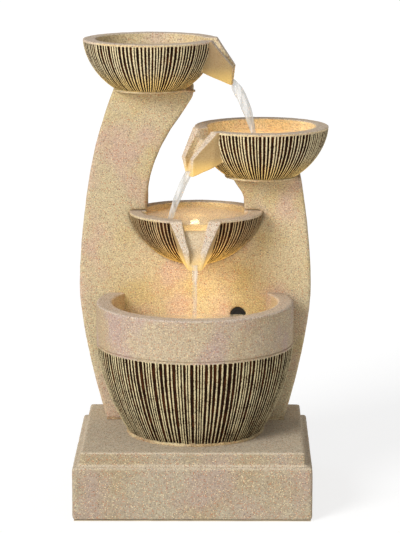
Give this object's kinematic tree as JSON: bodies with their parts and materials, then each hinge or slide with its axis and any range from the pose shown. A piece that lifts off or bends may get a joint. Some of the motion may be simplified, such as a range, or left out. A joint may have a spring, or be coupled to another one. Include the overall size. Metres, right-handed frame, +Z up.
{
  "type": "tabletop water fountain",
  "caption": "Tabletop water fountain with cascading spouted bowls on a forked column above a ribbed basin, with a pump, lamps and rear service door.",
  "frame": {"origin": "centre of the underside of the base, on the surface it stands on", "axes": "+Z up; +X to the right seen from the front, the side with the lower arm; +Y to the rear"},
  "size_m": [0.2588, 0.22, 0.4685],
  "materials": {
    "foam_pad": "matt closed-cell foam",
    "plinth_stone": "speckled sandstone-effect resin",
    "column_stone": "speckled sandstone-effect resin",
    "ribbed_bowl_stone": "cream ribs with dark painted grooves",
    "ribbed_basin_stone": "cream ribs with dark painted grooves under a plain band",
    "door_stone": "speckled sandstone-effect resin",
    "black_plastic": "fine moulded texture",
    "grey_plastic": "fine moulded texture",
    "clear_tube": "clear flexible tube",
    "lamp_lens": "clear lens with a warm lamp behind it",
    "black_rubber": "soft matt rubber",
    "wire_sheath": "smooth sheath",
    "ferrite": "sintered ferrite",
    "ceramic_shaft": "ground ceramic",
    "lamination_steel": "stacked laminations",
    "copper_winding": "enamelled copper wire"
  },
  "bodies": {
    "root": {"base_pad": "foam_pad", "base_plinth": "plinth_stone", "column": "column_stone", "top_bowl": "ribbed_bowl_stone", "right_bowl": "ribbed_bowl_stone", "middle_bowl": "ribbed_bowl_stone", "basin": "ribbed_basin_stone", "return_port_ring": "black_rubber", "cable_gland": "black_rubber", "inlet_nozzle": "grey_plastic", "riser_tube": "clear_tube", "right_lamp_base": "black_plastic", "middle_lamp_base": "black_plastic", "basin_lamp_base": "black_plastic", "right_lamp_lens": "lamp_lens", "middle_lamp_lens": "lamp_lens", "basin_lamp_lens": "lamp_lens", "junction_box": "black_plastic", "right_lamp_wire": "wire_sheath", "middle_lamp_wire": "wire_sheath", "basin_lamp_wire": "wire_sheath", "pump_cable": "wire_sheath", "inlet_lead": "wire_sheath", "pump_housing": "black_plastic", "motor_end_plate": "black_plastic", "stator_core": "lamination_steel", "stator_coil": "copper_winding", "impeller_shaft": "ceramic_shaft", "rear_bush": "black_rubber", "front_bush": "black_rubber", "volute_cover": "black_plastic", "suction_foot_1": "black_rubber", "suction_foot_2": "black_rubber", "suction_foot_3": "black_rubber", "suction_foot_4": "black_rubber"},
    "impeller": {"impeller": "ferrite"},
    "strainer": {"strainer_cover": "black_plastic"},
    "slider": {"flow_slider": "grey_plastic"},
    "door": {"rear_access_door": "door_stone"}
  },
  "joints": [
    {"name": "impeller_spin", "type": "hinge", "parent": "root", "child": "impeller", "pos_m": [0, 0.067, 0.1], "axis": [1, 0, 0], "continuous": true},
    {"name": "strainer_pull", "type": "slide", "parent": "root", "child": "strainer", "axis": [1, 0, 0], "range_m": [0, 0.03]},
    {"name": "flow_slider_slide", "type": "slide", "parent": "strainer", "child": "slider", "axis": [0, 0, 1], "range_m": [0, 0.0055]},
    {"name": "door_lift_off", "type": "slide", "parent": "root", "child": "door", "axis": [0, 1, 0], "range_m": [0, 0.06]}
  ]
}
